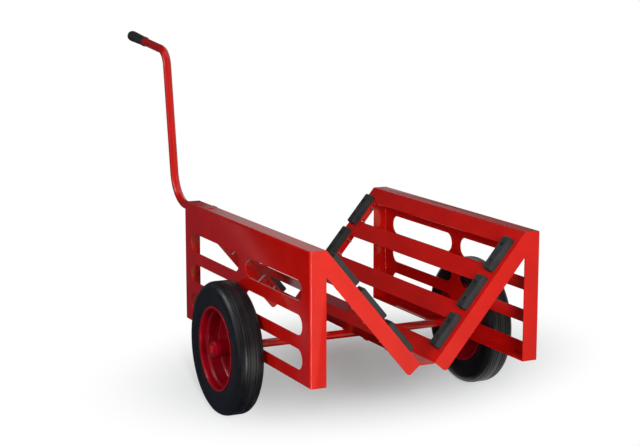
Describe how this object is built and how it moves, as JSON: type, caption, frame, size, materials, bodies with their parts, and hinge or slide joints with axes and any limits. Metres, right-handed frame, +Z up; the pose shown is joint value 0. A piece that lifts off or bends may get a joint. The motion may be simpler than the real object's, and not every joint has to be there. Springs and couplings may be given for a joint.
{
  "type": "pipe trolley",
  "caption": "Two-wheeled hand trolley with a V-shaped slotted steel cradle, rubber pads and a bent drawbar, for moving pipes and bars.",
  "frame": {"origin": "bottom centre of the parked trolley's bounding box, on the ground", "axes": "+X towards the drawbar, +Y to the trolley's left, +Z up; the frame is tipped nose-down about its axle, as it parks"},
  "size_m": [1.7222, 0.9376, 0.7221],
  "materials": {
    "red_paint": "gloss red powder coat",
    "tyre_rubber": "black solid rubber",
    "black_rubber": "dark grey moulded rubber",
    "zinc_steel": "zinc plated"
  },
  "bodies": {
    "frame": {"axle_bar": "red_paint", "cradle_panel_left": "red_paint", "cradle_panel_right": "red_paint", "drawbar_grip": "black_rubber", "drawbar_socket": "red_paint", "drawbar_tube": "red_paint", "inner_washer_left": "zinc_steel", "inner_washer_right": "zinc_steel", "keel_plate": "red_paint", "outer_washer_left": "red_paint", "outer_washer_right": "red_paint", "pad_front_left_lower": "black_rubber", "pad_front_left_middle": "black_rubber", "pad_front_left_upper": "black_rubber", "pad_front_right_lower": "black_rubber", "pad_front_right_middle": "black_rubber", "pad_front_right_upper": "black_rubber", "pad_rear_left_lower": "black_rubber", "pad_rear_left_middle": "black_rubber", "pad_rear_left_upper": "black_rubber", "pad_rear_right_lower": "black_rubber", "pad_rear_right_middle": "black_rubber", "pad_rear_right_upper": "black_rubber", "side_plate_left": "red_paint", "side_plate_right": "red_paint"},
    "wheel_left": {"hub_left": "red_paint", "rim_left": "red_paint", "tyre_left": "tyre_rubber"},
    "wheel_right": {"hub_right": "red_paint", "rim_right": "red_paint", "tyre_right": "tyre_rubber"}
  },
  "joints": [
    {"name": "wheel_left_spin", "type": "hinge", "parent": "frame", "child": "wheel_left", "pos_m": [-0.42594, 0.4185, 0.2], "axis": [0, 1, 0], "continuous": true},
    {"name": "wheel_right_spin", "type": "hinge", "parent": "frame", "child": "wheel_right", "pos_m": [-0.42594, -0.4185, 0.2], "axis": [0, 1, 0], "continuous": true}
  ]
}
